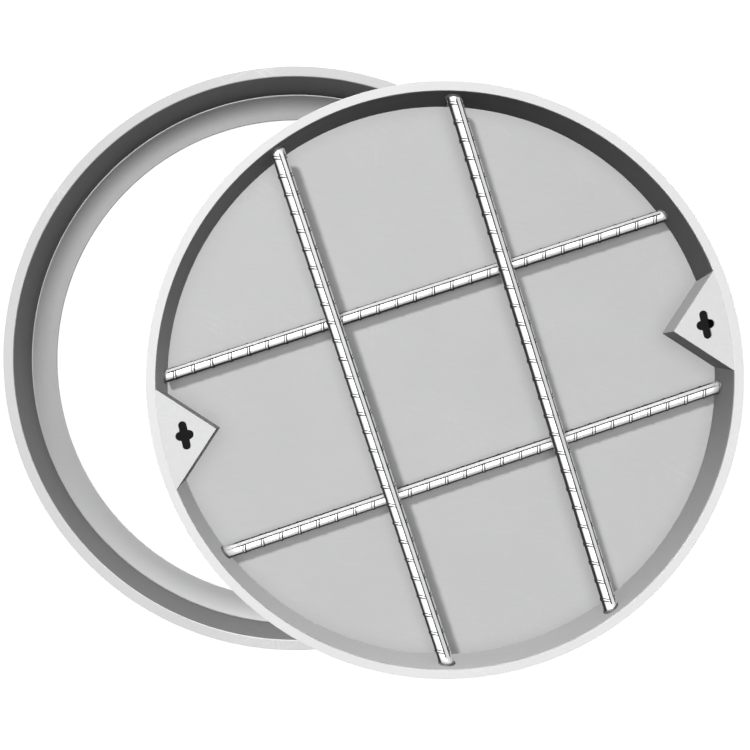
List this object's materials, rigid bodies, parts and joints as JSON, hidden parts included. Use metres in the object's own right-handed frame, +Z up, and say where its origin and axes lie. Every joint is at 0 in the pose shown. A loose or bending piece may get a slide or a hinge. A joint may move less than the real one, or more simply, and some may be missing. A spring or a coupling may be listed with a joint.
{
  "type": "manhole cover",
  "caption": "Round recessed manhole cover: a paving tray with crossed ribbed bars and lifting-key pockets, laid over its open dished frame.",
  "frame": {"origin": "centre of the round clear opening, at the frame's flat base", "axes": "+Z up out of the opening; +X towards the side the cover is laid to, along the longest extent"},
  "size_m": [0.874, 0.702, 0.1102],
  "materials": {
    "frame_steel": "satin sheet steel",
    "cover_steel": "satin sheet steel",
    "key_plate_steel": "satin plate",
    "ribbed_bar": "bright rolled bar",
    "weld_bead": "cleaned weld"
  },
  "bodies": {
    "frame": {"frame_rim": "frame_steel", "frame_wall": "frame_steel", "frame_ledge": "frame_steel", "frame_rim_weld": "weld_bead", "frame_ledge_weld": "weld_bead"},
    "cover": {"cover_rim": "cover_steel", "cover_wall": "cover_steel", "cover_floor": "cover_steel", "cover_floor_weld": "weld_bead", "lower_bar_back": "ribbed_bar", "lower_bar_front": "ribbed_bar", "upper_bar_left": "ribbed_bar", "upper_bar_right": "ribbed_bar", "lower_bar_welds": "weld_bead", "upper_bar_welds": "weld_bead", "right_key_plate": "key_plate_steel", "right_pocket_wall_a": "cover_steel", "right_pocket_wall_b": "cover_steel", "right_pocket_welds": "weld_bead", "left_key_plate": "key_plate_steel", "left_pocket_wall_a": "cover_steel", "left_pocket_wall_b": "cover_steel", "left_pocket_welds": "weld_bead"}
  },
  "joints": [
    {"name": "cover_lift", "type": "slide", "parent": "frame", "child": "cover", "axis": [0, 0, 1], "range_m": [0, 0.3]}
  ]
}
